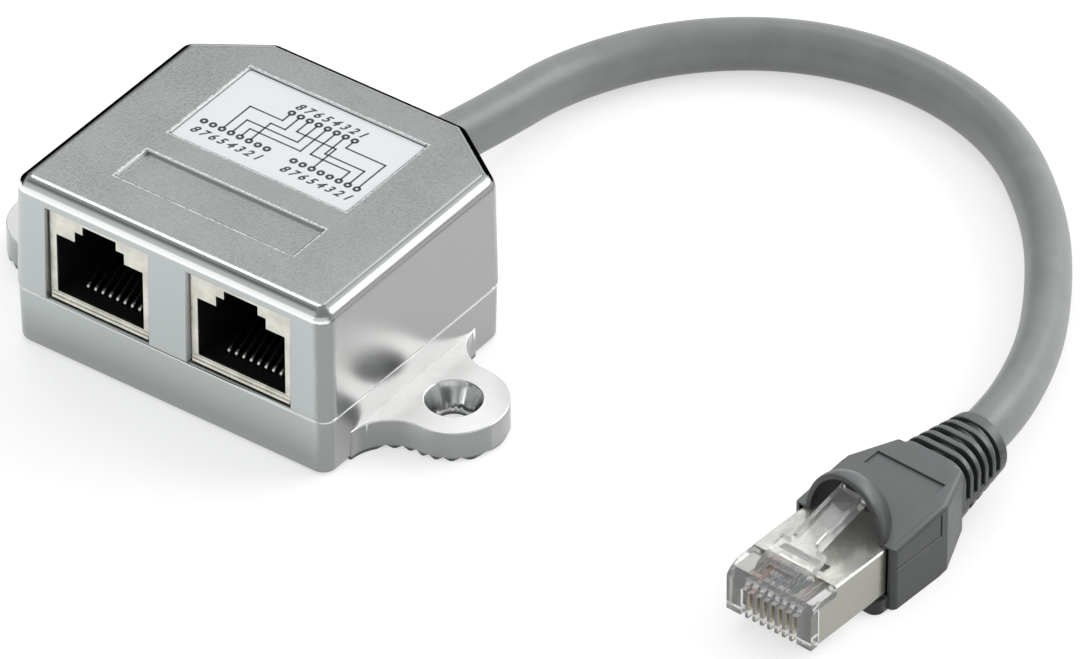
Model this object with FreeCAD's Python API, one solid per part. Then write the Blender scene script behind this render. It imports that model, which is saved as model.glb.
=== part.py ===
import FreeCAD, Part
import math
import os
from FreeCAD import Vector as V

# A splitter adapter for network leads: a two-part case with two jacks in its front,
# and a short fixed lead with a plug. Millimetres; X runs along the front of the case,
# Y from front to back, Z up. The origin is on the table under the middle of the case.

# Case
part_line = 7.6  # height of the line where the cover meets the base
draft = 0.017  # inset of the walls for each millimetre of height
overhang = 0.12  # the cover stands proud of the base by this
part_chamfer = 0.3  # along the top edge of the base
wall = 1.8
roof = 1.8
roof_gap = 0.7  # above the jacks
floor = 2.0
chamfer_x = 8.7  # rear corners
chamfer_y = 6.0
corner_round = 2.0
top_round = 1.8
base_round = 0.8
fit_gap = 0.1  # clearance between pieces that fit into each other
lip_thick = 0.8
lip_high = 1.2

# Recesses in the roof: one holds the label, the other is blank
label_wide = 24.3
label_deep = 14.8
label_at = 5.27  # middle, along Y
label_sink = 0.45
label_film = 0.15
blank_wide = 24.4
blank_deep = 5.7
blank_at = -8.93
blank_sink = 0.5
recess_at_x = -0.15
recess_round = 0.4

# Fixing ears on the base
ear_thick = 3.9
ear_reach = 5.3  # from the side wall to the middle of the hole
ear_round = 6.25
ear_flare = 5.2
ear_at = -2.95
hole_round = 2.1
sink_round = 3.27
sink_floor = 0.9  # where the countersink ends, above the table
groove_pitch = 1.6
groove_deep = 0.45

# Jacks
jack_gap = 5.5  # between the two cans
jack_side = 3.3  # from a can to the side wall
window_gap = 0.12  # round the can
jack_recess = 0.7
can_wide = 13.9
can_fold = 0.15
can_deep = 15.6
can_high = 12.0
can_sheet = 0.25
mouth_wide = 11.9
mouth_sill = 1.05  # from the board to the lower edge of the mouth
mouth_high = 7.8
key_wide = 6.8
key_high = 1.4
key2_wide = 4.6
key2_high = 1.15
cavity_deep = 13.0
contact_count = 8
contact_pitch = 1.016
wire = 0.3
comb_slot = 0.55
contact_front = 2.4  # from the face of the can to the bend of the wires
contact_rise = 28.0  # degrees
contact_run = 6.0
pin_row = 13.2
pin_row_step = 2.54
pin_out = 1.2  # below the board
leg_wide = 1.2
leg_at = 8.0

# Circuit board
board_thick = 1.6
board_side = 0.35  # clearance to the lip of the base
pad_room = 6.1  # the board reaches this far behind the cans
board_gap = 0.25  # between the front wall of the base and the board
board_up = 0.2  # its top face above the parting line
peg_round = 0.75
pin_hole = 0.4
pad_inset = 1.5  # from the rear edge
pad_pitch = 2.2

# Screws
case_screw_x = 15.6
case_screw_inset = 8.9  # from the back of the case
case_screw_round = 0.95
case_screw_long = 12.0
case_head_round = 2.0
case_head_high = 1.4
case_head_sink = 2.6
boss_wall = 1.5
clamp_screw_x = 6.4
clamp_screw_round = 0.9
clamp_screw_long = 9.0
clamp_head_round = 1.7
clamp_head_high = 1.2

# Cable and its clamp
cable_wide = 5.3
cable_high = 6.5
cable_gap = 0.15
clamp_inset = 6.4  # from the back of the case to the middle of the clamp
clamp_deep = 4.0
clamp_wide = 17.4
clamp_web = 1.7
clamp_bite = 0.15  # half of the gap that is left between clamp and cradle
cable_tail = 4.0  # from the middle of the clamp to the end of the jacket
core_run = 5.0  # from there to the rear edge of the board
core_round = 0.4
core_count = 8

# Plug, in its own axes: x across, y back from its nose, z up from its underside
plug_x = 76.65
plug_y = -13.25
plug_lift = 1.9  # thickness of the boot below the plug
plug_turn = -3.8  # degrees
plug_wide = 11.68
plug_high = 6.07
plug_long = 21.5
plug_sheet = 0.25
nose_side = 1.37  # bare nose in front of the shield, at the sides
nose_top = 4.4  # the same on top
nose_step = 4.8  # height where the side of the shield steps back
slot_wide = 0.6
slot_high = 3.6
slot_long = 6.0
blade_thick = 0.35
core_high = 4.0
load_bar_at = 6.6
load_bar_long = 3.4
latch_wide = 6.1
latch_tail = 3.5
latch_thick = 0.9
latch_shoulder = 5.9
latch_end = 14.4
rail_wide = 0.5
rail_high = 0.4
window_from = 5.4  # the window in the top of the shield
window_long = 1.3

# Boot, in the axes of the plug
boot_front = 12.7
boot_half = 7.0
boot_low = 6.5  # top of its front edge
boot_top = 7.35
boot_round = 0.8
heel = 20.6  # where its underside starts to rise
shoulder = 21.9  # where its sides start to close in
neck = 27.4
neck_half = 4.7
neck_base = -0.75
boot_end = 36.2
ring_round = 3.85
ring_mid = 3.6
exit_high = 3.5  # middle of the cable above the underside of the plug
hood_half = 5.45
hood_crest = 13.0
hood_back = 18.9
hood_wall = 0.7
hollow_back = 16.6  # how far back its hollow goes
lip_front = 10.7
relief_slots = 5
relief_slot = 0.75
relief_deep = 1.1
flare_gap = 0.75
panel_wide = 9.3
panel_from = 21.8
panel_long = 2.5
panel_sink = 0.3
seam_to = 20.9
seam_wide = 0.2
seam_deep = 0.15
seam_high = 3.5

# What follows from these
reach = 60.0  # for cuts that run right through
jack_at = (can_wide + jack_gap) / 2
case_wide = 2 * (jack_at + can_wide / 2 + jack_side + wall)
case_deep = jack_recess + can_deep + pad_room + core_run + cable_tail + clamp_inset
case_front = -case_deep / 2
cable_mid = part_line
board_top = part_line + board_up
board_base = board_top - board_thick
board_wide = case_wide - 2 * (wall + fit_gap + lip_thick + board_side)
face_y = case_front + jack_recess
board_back = face_y + can_deep + pad_room
can_top = board_top + can_high
window_wide = can_wide + 2 * window_gap
window_top = can_top + window_gap
case_high = can_top + roof_gap + roof
case_screw_y = case_deep / 2 - case_screw_inset
clamp_y = case_deep / 2 - clamp_inset
cable_start = clamp_y - cable_tail
pad_row = board_back - pad_inset
mouth_base = board_top + mouth_sill
table_mid = cable_high / 2 + 0.05
plug_place = FreeCAD.Placement(V(plug_x, plug_y, plug_lift), FreeCAD.Rotation(V(0, 0, 1), plug_turn))


def plug_point(x, y, z):
    return plug_place.multVec(V(x, y, z))


# The cable leaves the case, comes down to the table, turns round and runs into the boot.
cable_route = [
    V(0, cable_start, cable_mid),
    V(0, 23.0, cable_mid),
    V(1.8, 37.8, 5.9),
    V(2.3, 52.0, 4.0),
    V(8.7, 64.9, table_mid),
    V(20.2, 73.5, table_mid),
    V(34.4, 76.2, table_mid),
    V(48.5, 72.5, table_mid),
    V(60.4, 62.6, table_mid),
    V(68.1, 52.3, table_mid),
    V(74.9, 39.9, 4.1),
    plug_point(0, boot_end + 1.3, exit_high),
    plug_point(0, plug_long, exit_high),
]


def block(x0, x1, y0, y1, z0, z1):
    return Part.makeBox(x1 - x0, y1 - y0, z1 - z0, V(x0, y0, z0))


def rod(radius, x, y, z0, z1):
    return Part.makeCylinder(radius, z1 - z0, V(x, y, z0))


def prism(points, along):
    return Part.Face(Part.makePolygon(points + points[:1])).extrude(along)


def rounded_block(x0, x1, y0, y1, z0, z1, radius):
    solid = block(x0, x1, y0, y1, z0, z1)
    return solid.makeFillet(radius, [e for e in solid.Edges if is_upright(e)])


def is_upright(edge):
    a, b = edge.Vertexes[0].Point, edge.Vertexes[-1].Point
    return abs(a.z - b.z) > 5 * math.hypot(a.x - b.x, a.y - b.y)


def lies_at(edge, z):
    return all(abs(v.Z - z) < 0.01 for v in edge.Vertexes)


def oval(half_wide, half_high, x, y, z):
    """The outline of the jacket, which stands upright, in a plane across Y."""
    middle = V(x, y, z)
    curve = Part.Ellipse(middle + V(0, 0, half_high), middle + V(half_wide, 0, 0), middle)
    return Part.Wire([curve.toShape()])


def oval_rod(half_wide, half_high, z, y0, y1):
    return Part.Face(oval(half_wide, half_high, 0, y0, z)).extrude(V(0, y1 - y0, 0))


def inset_outline(inset, z):
    """The plan of the case, six-sided, with every side moved in by the same amount."""
    x, y = case_wide / 2, case_deep / 2
    corners = [(-x, -y), (x, -y), (x, y - chamfer_y), (x - chamfer_x, y), (chamfer_x - x, y), (-x, y - chamfer_y)]
    points = []
    for i, (cx, cy) in enumerate(corners):
        px, py = corners[i - 1]
        nx, ny = corners[(i + 1) % len(corners)]
        a = V(cx - px, cy - py, 0).normalize()
        b = V(nx - cx, ny - cy, 0).normalize()
        half_turn = math.acos(max(-1, min(1, a.dot(b)))) / 2
        inward = (b - a).normalize()
        points.append(V(cx, cy, z) + inward * (inset / math.cos(half_turn)))
    return points


def case_loft(inset0, z0, inset1, z1):
    wires = []
    for inset, z in ((inset0, z0), (inset1, z1)):
        points = inset_outline(inset, z)
        wires.append(Part.makePolygon(points + points[:1]))
    return Part.makeLoft(wires, True, True)


def rounded_path(points, radius=None, report=False):
    """Straight runs joined by tangent arcs; with no radius, as wide as the runs allow."""
    edges, start, radii = [], points[0], []
    for a, b, c in zip(points, points[1:], points[2:]):
        back = (a - b).normalize()
        ahead = (c - b).normalize()
        half = math.acos(max(-1, min(1, -back.dot(ahead)))) / 2
        trim = 0.45 * min((a - b).Length, (c - b).Length) if radius is None else radius * math.tan(half)
        size = trim / math.tan(half)
        radii.append(round(size, 1))
        p, q = b + back * trim, b + ahead * trim
        middle = b + (back + ahead).normalize() * (size / math.cos(half) - size)
        edges.append(Part.LineSegment(start, p).toShape())
        edges.append(Part.Arc(p, middle, q).toShape())
        start = q
    edges.append(Part.LineSegment(start, points[-1]).toShape())
    if report:
        print("arc radii of the cable:", radii)
    return Part.Wire(edges)


def sweep(path, outline):
    """The outline keeps its top side up all along the path."""
    maker = Part.BRepOffsetAPI.MakePipeShell(path)
    maker.setBiNormalMode(V(0, 0, 1))
    maker.add(outline)
    maker.build()
    maker.makeSolid()
    return maker.shape()


def core_sweep(path, radius):
    """A thin core: eight flat sides stand for its round skin."""
    start = path.Edges[0]
    outline = []
    for k in range(9):
        angle = math.pi / 4 * k
        outline.append(start.valueAt(0) + V(radius * math.cos(angle), 0, radius * math.sin(angle)))
    return path.makePipeShell([Part.makePolygon(outline)], True, False)


def rear_screw_places():
    return [(side * case_screw_x, case_screw_y) for side in (-1, 1)]


def clamp_screw_places():
    return [(side * clamp_screw_x, clamp_y) for side in (-1, 1)]


def recess(width, depth, at_y, sink):
    x, y = width / 2, depth / 2
    low = case_high - sink
    return rounded_block(recess_at_x - x, recess_at_x + x, at_y - y, at_y + y, low, case_high + 1, recess_round)


def top_cover():
    rise = case_high - part_line
    outer = case_loft(0, part_line, draft * rise, case_high)
    outer = outer.makeFillet(corner_round, [e for e in outer.Edges if is_upright(e)])
    outer = outer.makeFillet(top_round, [e for e in outer.Edges if lies_at(e, case_high)])
    under_roof = case_high - roof
    room = case_loft(wall, part_line - 1, wall + draft * rise, under_roof)
    cover = outer.cut(room)
    cuts = [recess(label_wide, label_deep, label_at, label_sink), recess(blank_wide, blank_deep, blank_at, blank_sink)]
    for side in (-1, 1):
        x = side * jack_at
        half = window_wide / 2
        cuts.append(block(x - half, x + half, case_front - 1, case_front + wall + 0.5, 0, window_top))
    hole_wide, hole_high = cable_wide / 2 + cable_gap, cable_high / 2 + cable_gap
    cuts.append(oval_rod(hole_wide, hole_high, cable_mid, case_deep / 2 - wall - 1, case_deep / 2 + 1))
    cover = cover.cut(cuts)
    posts = []
    for x, y in rear_screw_places():
        posts.append(rod(case_screw_round + boss_wall, x, y, part_line, under_roof + 0.1))
    hold_down = block(-1, 1, face_y + 2, face_y + can_deep, board_top + fit_gap, under_roof + 0.1)
    cover = cover.fuse(posts + [hold_down])
    screw_tip = case_head_sink + case_screw_long
    pilots = [rod(case_screw_round + 0.02, x, y, part_line - 1, screw_tip + 1) for x, y in rear_screw_places()]
    return cover.cut(pilots)


def ear_outline():
    """Right ear: two hollow flares that run from the wall into the round tip."""
    wall_x = case_wide / 2 - overhang
    tip_x = wall_x + overhang + ear_reach
    flare_x = wall_x + ear_flare
    spread = math.sqrt((ear_flare + ear_round) ** 2 - (tip_x - flare_x) ** 2)
    share = ear_round / (ear_round + ear_flare)
    points = []
    for side in (-1, 1):
        centre = V(flare_x, ear_at + side * spread, 0)
        tip = V(tip_x, ear_at, 0)
        meet = tip + (centre - tip) * share
        root = centre - V(ear_flare, 0, 0)
        middle = centre + ((root - centre) + (meet - centre)).normalize() * ear_flare
        points.append((root, middle, meet))
    (root0, middle0, meet0), (root1, middle1, meet1) = points
    inside = V(-4, 0, 0)
    edges = [
        Part.LineSegment(root0 + inside, root0).toShape(),
        Part.Arc(root0, middle0, meet0).toShape(),
        Part.Arc(meet0, V(tip_x + ear_round, ear_at, 0), meet1).toShape(),
        Part.Arc(meet1, middle1, root1).toShape(),
        Part.LineSegment(root1, root1 + inside).toShape(),
        Part.LineSegment(root1 + inside, root0 + inside).toShape(),
    ]
    return Part.Wire(edges)


def ear_cuts():
    """Countersunk hole, and grooves along Y in the underside, with a flat seat round the hole."""
    x = case_wide / 2 + ear_reach
    cuts = [rod(hole_round, x, ear_at, -1, ear_thick + 1)]
    cuts.append(Part.makeCone(hole_round, sink_round, ear_thick - sink_floor, V(x, ear_at, sink_floor)))
    along = ear_round + ear_flare + 2
    seat = rod(sink_round, x, ear_at, -1, ear_thick)
    first = case_wide / 2 + groove_pitch
    count = int((ear_reach + ear_round) / groove_pitch)
    for i in range(count):
        middle = first + i * groove_pitch
        half = groove_pitch * 0.42
        corners = [V(middle - half, ear_at - along, -0.01), V(middle + half, ear_at - along, -0.01)]
        corners.append(V(middle, ear_at - along, groove_deep))
        cuts.append(prism(corners, V(0, 2 * along, 0)).cut(seat))
    return cuts


def base_shell():
    foot = overhang + draft * part_line
    outer = case_loft(foot, 0, overhang, part_line)
    outer = outer.makeFillet(corner_round - overhang, [e for e in outer.Edges if is_upright(e)])
    outer = outer.makeFillet(base_round, [e for e in outer.Edges if lies_at(e, 0)])
    outer = outer.makeChamfer(part_chamfer, [e for e in outer.Edges if lies_at(e, part_line)])
    right = Part.Face(ear_outline()).extrude(V(0, 0, ear_thick))
    shell = outer.fuse([right, right.mirror(V(0, 0, 0), V(1, 0, 0))])
    inner = overhang + wall
    shell = shell.cut(case_loft(inner + draft * part_line, floor, inner, part_line + 1))
    cuts = ear_cuts()
    shell = shell.cut(cuts + [c.mirror(V(0, 0, 0), V(1, 0, 0)) for c in cuts])

    lip0, lip1 = wall + fit_gap, wall + fit_gap + lip_thick
    lip = case_loft(lip0, part_line - 1, lip0, part_line + lip_high)
    lip = lip.cut(case_loft(lip1, part_line - 2, lip1, part_line + lip_high + 1))
    half = board_wide / 2 + fit_gap
    lip = lip.cut(block(-half, half, case_front - 1, face_y + 4, 0, case_high))
    adds = [lip]
    rail_back = board_back - 0.5
    rail_front = case_front + inner + board_gap
    for x0, x1 in ((-board_wide / 2, -board_wide / 2 + 1.5), (-1.2, 1.2), (board_wide / 2 - 1.5, board_wide / 2)):
        adds.append(block(x0, x1, rail_front, rail_back, floor - 0.1, board_base))
    for y in peg_places():
        adds.append(rod(peg_round, 0, y, board_base - 0.5, board_top - fit_gap))
    for x, y in rear_screw_places():
        adds.append(rod(case_head_round + fit_gap + boss_wall / 2, x, y, floor - 0.1, part_line - fit_gap))
    cradle = clamp_deep / 2 + 1
    half = clamp_wide / 2
    adds.append(block(-half, half, clamp_y - cradle, clamp_y + cradle, floor - 0.1, cable_mid - clamp_bite))
    shell = shell.fuse(adds)

    cuts = []
    for x, y in rear_screw_places():
        cuts.append(rod(case_screw_round + 0.2, x, y, -1, part_line + 1))
        cuts.append(rod(case_head_round + fit_gap, x, y, -1, case_head_sink))
    for x, y in clamp_screw_places():
        cuts.append(rod(clamp_screw_round + 0.02, x, y, floor + 0.5, part_line + 1))
    seat = clamp_y - cradle - 1
    cuts.append(oval_rod(cable_wide / 2 + 0.03, cable_high / 2 + 0.03, cable_mid, seat, clamp_y + cradle + 1))
    hole_wide, hole_high = cable_wide / 2 + cable_gap, cable_high / 2 + cable_gap
    cuts.append(oval_rod(hole_wide, hole_high, cable_mid, clamp_y + cradle, case_deep / 2 + 1))
    return shell.cut(cuts).removeSplitter()


def peg_places():
    return [face_y + 3, board_back - 2]


def label():
    x, y = label_wide / 2 - fit_gap, label_deep / 2 - fit_gap
    low = case_high - label_sink
    film = rounded_block(recess_at_x - x, recess_at_x + x, label_at - y, label_at + y, low, low + label_film, 0.3)
    return film


def contact_places(jack_x):
    """X of each wire, and the Y of its pin: the pins stand in two rows."""
    places = []
    for i in range(contact_count):
        x = jack_x + (i - (contact_count - 1) / 2) * contact_pitch
        places.append((x, face_y + pin_row - (i % 2) * pin_row_step))
    return places


def circuit_board():
    front = case_front + overhang + wall + board_gap
    half = board_wide / 2
    board = block(-half, half, front, board_back, board_base, board_top)
    cuts = [rod(peg_round + fit_gap, 0, y, 0, case_high) for y in peg_places()]
    leg = leg_wide / 2 + fit_gap
    for side in (-1, 1):
        for x, y in contact_places(side * jack_at):
            cuts.append(rod(pin_hole, x, y, 0, case_high))
        for edge in (-1, 1):
            x = side * jack_at + edge * (can_wide - can_sheet) / 2
            thick = can_sheet / 2 + fit_gap
            cuts.append(block(x - thick, x + thick, face_y + leg_at - leg, face_y + leg_at + leg, 0, case_high))
    return board.cut(cuts)


def mouth_cut(x, grow, y0, y1):
    """The stepped opening that a plug and its latch go into."""
    parts = []
    top = mouth_base
    for width, height in ((mouth_wide, mouth_high), (key_wide, key_high), (key2_wide, key2_high)):
        half = width / 2 + grow
        parts.append(block(x - half, x + half, y0, y1, mouth_base - 0.001, top + height))
        top += height
    return parts[0].fuse(parts[1:])


def jack_shield(x):
    half = can_wide / 2
    low = board_top + 0.05
    can = block(x - half, x + half, face_y, face_y + can_deep, low, can_top)
    can = can.makeFillet(can_fold, [e for e in can.Edges if is_upright(e)])
    inner = half - can_sheet
    back = face_y + can_deep - can_sheet
    can = can.cut(block(x - inner, x + inner, face_y + can_sheet, back, 0, can_top - can_sheet))
    can = can.cut(mouth_cut(x, 0, face_y - 1, face_y + 1))
    fold = block(x - half + 0.3, x + half - 0.3, face_y - 0.2, face_y + 0.1, low, low + 0.35)
    sill = block(x - half + 0.3, x + half - 0.3, face_y - 0.1, face_y + 0.1, low + 0.5, low + 0.8)
    legs = []
    for edge in (-1, 1):
        x0 = x + edge * (half - can_sheet / 2)
        leg = leg_wide / 2
        sheet = can_sheet / 2
        y = face_y + leg_at
        legs.append(block(x0 - sheet, x0 + sheet, y - leg, y + leg, board_base - pin_out, low + 0.5))
    return can.fuse([fold, sill] + legs)


def jack_housing(x):
    half = can_wide / 2 - can_sheet - fit_gap
    front = face_y + can_sheet + fit_gap
    back = face_y + can_deep - can_sheet - fit_gap
    top = can_top - can_sheet - 0.05
    body = block(x - half, x + half, front, back, board_top, top)
    cuts = [mouth_cut(x, 0.1, front - 1, face_y + cavity_deep)]
    slot_floor = board_top + 0.25
    for wire_x, pin_y in contact_places(x):
        half = comb_slot / 2
        slot_front = face_y + contact_front - 0.4
        cuts.append(block(wire_x - half, wire_x + half, slot_front, pin_y + half, slot_floor, mouth_base + 0.1))
        cuts.append(block(wire_x - half, wire_x + half, pin_y - half, pin_y + half, board_top - 1, slot_floor + 0.1))
    return body.cut(cuts)


def jack_contact(x, pin_y):
    """One bent wire: up through the board, forward under the comb, round and up to the back."""
    low = board_top + 0.5
    front = face_y + contact_front
    angle = math.radians(contact_rise)
    points = [
        V(x, pin_y, board_base - pin_out),
        V(x, pin_y, low),
        V(x, front, low),
        V(x, front, low + 0.7),
        V(x, front + contact_run, low + 0.7 + contact_run * math.tan(angle)),
    ]
    path = rounded_path(points, 0.3)
    half = wire / 2
    corners = [V(-half, -half, 0), V(half, -half, 0), V(half, half, 0), V(-half, half, 0), V(-half, -half, 0)]
    outline = Part.makePolygon([points[0] + c for c in corners])
    return path.makePipeShell([outline], True, False)


def screw(radius, length, head_radius, head_high):
    """Head down to z = 0, shank above it."""
    shank = Part.makeCylinder(radius, length)
    head = Part.makeCylinder(head_radius, head_high, V(0, 0, -head_high))
    drive = Part.makeBox(head_radius, 0.5, 0.6, V(-head_radius / 2, -0.25, -head_high))
    return shank.fuse(head).cut([drive, drive.rotated(V(0, 0, 0), V(0, 0, 1), 90)])


def case_screws():
    made = screw(case_screw_round, case_screw_long, case_head_round, case_head_high)
    return Part.makeCompound([made.translated(V(x, y, case_head_sink)) for x, y in rear_screw_places()])


def clamp_screws():
    made = screw(clamp_screw_round, clamp_screw_long, clamp_head_round, clamp_head_high)
    made = made.rotated(V(0, 0, 0), V(1, 0, 0), 180)
    top = cable_mid + cable_high / 2 + clamp_web
    return Part.makeCompound([made.translated(V(x, y, top)) for x, y in clamp_screw_places()])


def cable_clamp():
    half, deep = clamp_wide / 2, clamp_deep / 2
    top = cable_mid + cable_high / 2 + clamp_web
    bar = block(-half, half, clamp_y - deep, clamp_y + deep, cable_mid + clamp_bite, top)
    ends = [e for e in bar.Edges if lies_at(e, top) and abs(abs(e.Vertexes[0].X) - half) < 0.01]
    bar = bar.makeFillet(1.5, [e for e in ends if abs(e.Vertexes[-1].X - e.Vertexes[0].X) < 0.01])
    cuts = [oval_rod(cable_wide / 2 + 0.03, cable_high / 2 + 0.03, cable_mid, clamp_y - 5, clamp_y + 5)]
    cuts += [rod(clamp_screw_round + 0.15, x, y, 0, case_high) for x, y in clamp_screw_places()]
    return bar.cut(cuts)


def cable():
    path = rounded_path(cable_route, report=True)
    start = cable_route[0]
    made = sweep(path, oval(cable_wide / 2, cable_high / 2, start.x, start.y, start.z))
    expected = math.pi * cable_wide * cable_high / 4 * path.Length
    print("cable length", round(path.Length, 1), "volume over section x length", round(made.Volume / expected, 4))
    return made


def board_core(i):
    """An insulated core, from the end of the jacket over the edge of the board to its pad."""
    side = -1 if i < core_count // 2 else 1
    row = i % (core_count // 2)
    x0 = side * (core_round + 0.2)
    z0 = cable_mid + (row - 1.5) * 1.4
    pad = side * (row + 0.5) * pad_pitch
    over = board_top + 1.6
    points = [
        V(x0, cable_start, z0),
        V(x0, cable_start - 1.6, z0),
        V(pad, pad_row + 1.2, over),
        V(pad, pad_row, over - 0.4),
        V(pad, pad_row, board_top),
    ]
    return core_sweep(rounded_path(points, 0.5), core_round)


def blade_places():
    return [(i - (contact_count - 1) / 2) * contact_pitch for i in range(contact_count)]


def side_prism(points, half):
    """A solid with this outline in the Y-Z plane, half as wide to each side."""
    return prism([V(-half, y, z) for y, z in points], V(2 * half, 0, 0))


def latch():
    """The springy tongue: wide at its root, then a narrow tail between two raised rails."""
    top = [(0.8, 5.4), (1.9, 6.75), (3.2, 7.25), (5.5, 7.95), (7.4, 8.4), (latch_end, 10.05)]
    under = [(latch_end, 10.05 - latch_thick), (7.4, 8.4 - latch_thick), (5.5, 7.95 - latch_thick)]
    under += [(3.9, 6.3), (3.6, 5.4)]
    outline = top + under
    wide = side_prism(outline, latch_wide / 2).common(block(-reach, reach, 0, latch_shoulder, 0, reach))
    tail = side_prism(outline, latch_tail / 2)
    rails = side_prism([(6.3, 8.0), (latch_end, 9.9), (latch_end, 10.05 + rail_high), (6.3, 8.13 + rail_high)], latch_tail / 2)
    inner = latch_tail / 2 - rail_wide
    rails = rails.cut(block(-inner, inner, 0, reach, 0, reach))
    eye = block(-1.75, 1.75, 1.5, 2.3, 6.2, 20)
    return wide.fuse([tail, rails]).cut(eye)


def plug_body():
    half = plug_wide / 2
    inner = half - plug_sheet - 0.02
    top = plug_high - plug_sheet - 0.02
    core = block(-inner, inner, 0.5, plug_long, plug_sheet + 0.02, top)
    side = [(0, 0), (0, 4.6), (0.5, 5.15), (nose_side - 0.02, 5.6), (nose_side - 0.02, 0)]
    nose = side_prism(side, half)
    cap = [(0.3, nose_step + 0.02), (0.5, 5.15), (1.6, top), (nose_top - 0.02, top), (nose_top - 0.02, nose_step + 0.02)]
    body = core.fuse([nose, side_prism(cap, half), latch()])
    cuts = [block(-reach, reach, -0.1, 0.5, 5.15, 5.6)]
    for x in blade_places():
        w = slot_wide / 2
        cuts.append(block(x - w, x + w, -1, slot_long, -1, slot_high))
        cuts.append(Part.makeCylinder(core_round + 0.04, 6, V(x, nose_side - 0.1, core_high), V(0, 1, 0)))
    cuts.append(block(-4.7, 4.7, load_bar_at - 0.2, plug_long + 1, 1.0, 5.2))
    return body.cut(cuts)


def plug_shield():
    """A folded can round the back of the plug, with a strap crimped round the cable."""
    half = plug_wide / 2
    can = block(-half, half, nose_side, plug_long - 0.1, 0, plug_high)
    can = can.makeFillet(0.3, [e for e in can.Edges if abs(e.Vertexes[0].Y - e.Vertexes[-1].Y) > 1])
    inner = half - plug_sheet
    cuts = [block(-inner, inner, 0, plug_long + 1, plug_sheet, plug_high - plug_sheet)]
    cuts.append(block(-reach, reach, 0, nose_top, nose_step, reach))
    cuts.append(block(-inner, inner, 0, slot_long + 0.8, -1, 1))
    cuts.append(block(-latch_wide / 2, latch_wide / 2, window_from, window_from + window_long, 3, 9))
    can = can.cut(cuts)
    crimp = oval_rod(cable_wide / 2 + 0.35, cable_high / 2 + 0.35, exit_high, plug_long + 0.6, plug_long + 4.2)
    crimp = crimp.cut(oval_rod(cable_wide / 2 + 0.04, cable_high / 2 + 0.04, exit_high, plug_long, plug_long + 5))
    crimp = crimp.cut(block(-reach, reach, plug_long, plug_long + 5, exit_high + 1.2, reach))
    strap = block(-0.8, 0.8, plug_long - 1, plug_long + 1, 0, plug_sheet)
    strap = strap.cut(oval_rod(cable_wide / 2 + 0.04, cable_high / 2 + 0.04, exit_high, plug_long, plug_long + 5))
    return can.fuse([crimp, strap])


def plug_contact(x):
    """A gold blade with its teeth under the core."""
    half = blade_thick / 2
    teeth = core_high - core_round - 0.05
    outline = [(0.6, 0.5), (5.4, 0.5), (5.4, teeth), (4.4, teeth), (4.0, 2.6), (2.2, 2.6), (1.8, teeth), (0.6, teeth)]
    return side_prism(outline, half).translated(V(x, 0, 0))


def load_bar():
    bar = block(-4.5, 4.5, load_bar_at, load_bar_at + load_bar_long, core_high - 0.85, core_high + 0.85)
    holes = []
    for x in blade_places():
        holes.append(Part.makeCylinder(core_round + 0.04, 9, V(x, load_bar_at - 1, core_high), V(0, 1, 0)))
    return bar.cut(holes)


def plug_core(i):
    """From its hole in the nose, through the bar, into one of two rows in the jacket."""
    x = blade_places()[i]
    x1 = (i // 2 - 1.5) * 1.0
    z1 = exit_high + (0.75 if i % 2 else -0.75)
    turn = load_bar_at + load_bar_long + 1
    points = [
        V(x, nose_side, core_high),
        V(x, turn, core_high),
        V(x1, plug_long - 3, z1),
        V(x1, plug_long, z1),
    ]
    return core_sweep(rounded_path(points, 2.0), core_round)


def arch(half, base, crest, y):
    """A flat-bottomed arch across Y, as one curve and one line."""
    points = []
    for k in range(9):
        angle = math.pi * k / 8
        points.append(V(half * math.cos(angle), y, base + (crest - base) * math.sin(angle)))
    curve = Part.BSplineCurve()
    curve.interpolate(points)
    return Part.Wire([curve.toShape(), Part.LineSegment(points[-1], points[0]).toShape()])


def soft_square(half_wide, low, high, radius, y):
    """A rectangle with round corners across Y."""
    x = half_wide
    corners = [(-x, low), (x, low), (x, high), (-x, high)]
    edges, last = [], None
    for i, (cx, cz) in enumerate(corners):
        px, pz = corners[i - 1]
        nx, nz = corners[(i + 1) % 4]
        back = V(px - cx, 0, pz - cz).normalize()
        ahead = V(nx - cx, 0, nz - cz).normalize()
        c = V(cx, y, cz)
        p, q = c + back * radius, c + ahead * radius
        m = c + (back + ahead) * (radius * (1 - math.sqrt(0.5)))
        if last is not None:
            edges.append(Part.LineSegment(last, p).toShape())
        else:
            first = p
        edges.append(Part.Arc(p, m, q).toShape())
        last = q
    edges.append(Part.LineSegment(last, first).toShape())
    return Part.Wire(edges)


def relief(inset):
    """The tapered strain relief, from the square neck to the round end."""
    low, high = ring_mid - ring_round, ring_mid + ring_round
    neck_wire = soft_square(neck_half - inset, neck_base + inset, boot_top - inset, 2.2 - inset / 2, neck - 0.2)
    end_wire = soft_square(ring_round - inset, low + inset, high - inset, ring_round - inset - 0.05, boot_end)
    return Part.makeLoft([neck_wire, end_wire], True, False)


def relief_cuts():
    """Slots over the top half, and between them others over the bottom half."""
    cuts = []
    pitch = (boot_end - neck - 1.4) / relief_slots
    core = relief(relief_deep)
    for i in range(relief_slots):
        y = neck + 0.7 + i * pitch
        upper = block(-reach, reach, y, y + relief_slot, exit_high - 0.9, reach)
        lower = block(-reach, reach, y + pitch / 2, y + pitch / 2 + relief_slot, -reach, exit_high - 1.9)
        cuts += [upper.cut(core), lower.cut(core)]
    return cuts


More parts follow.
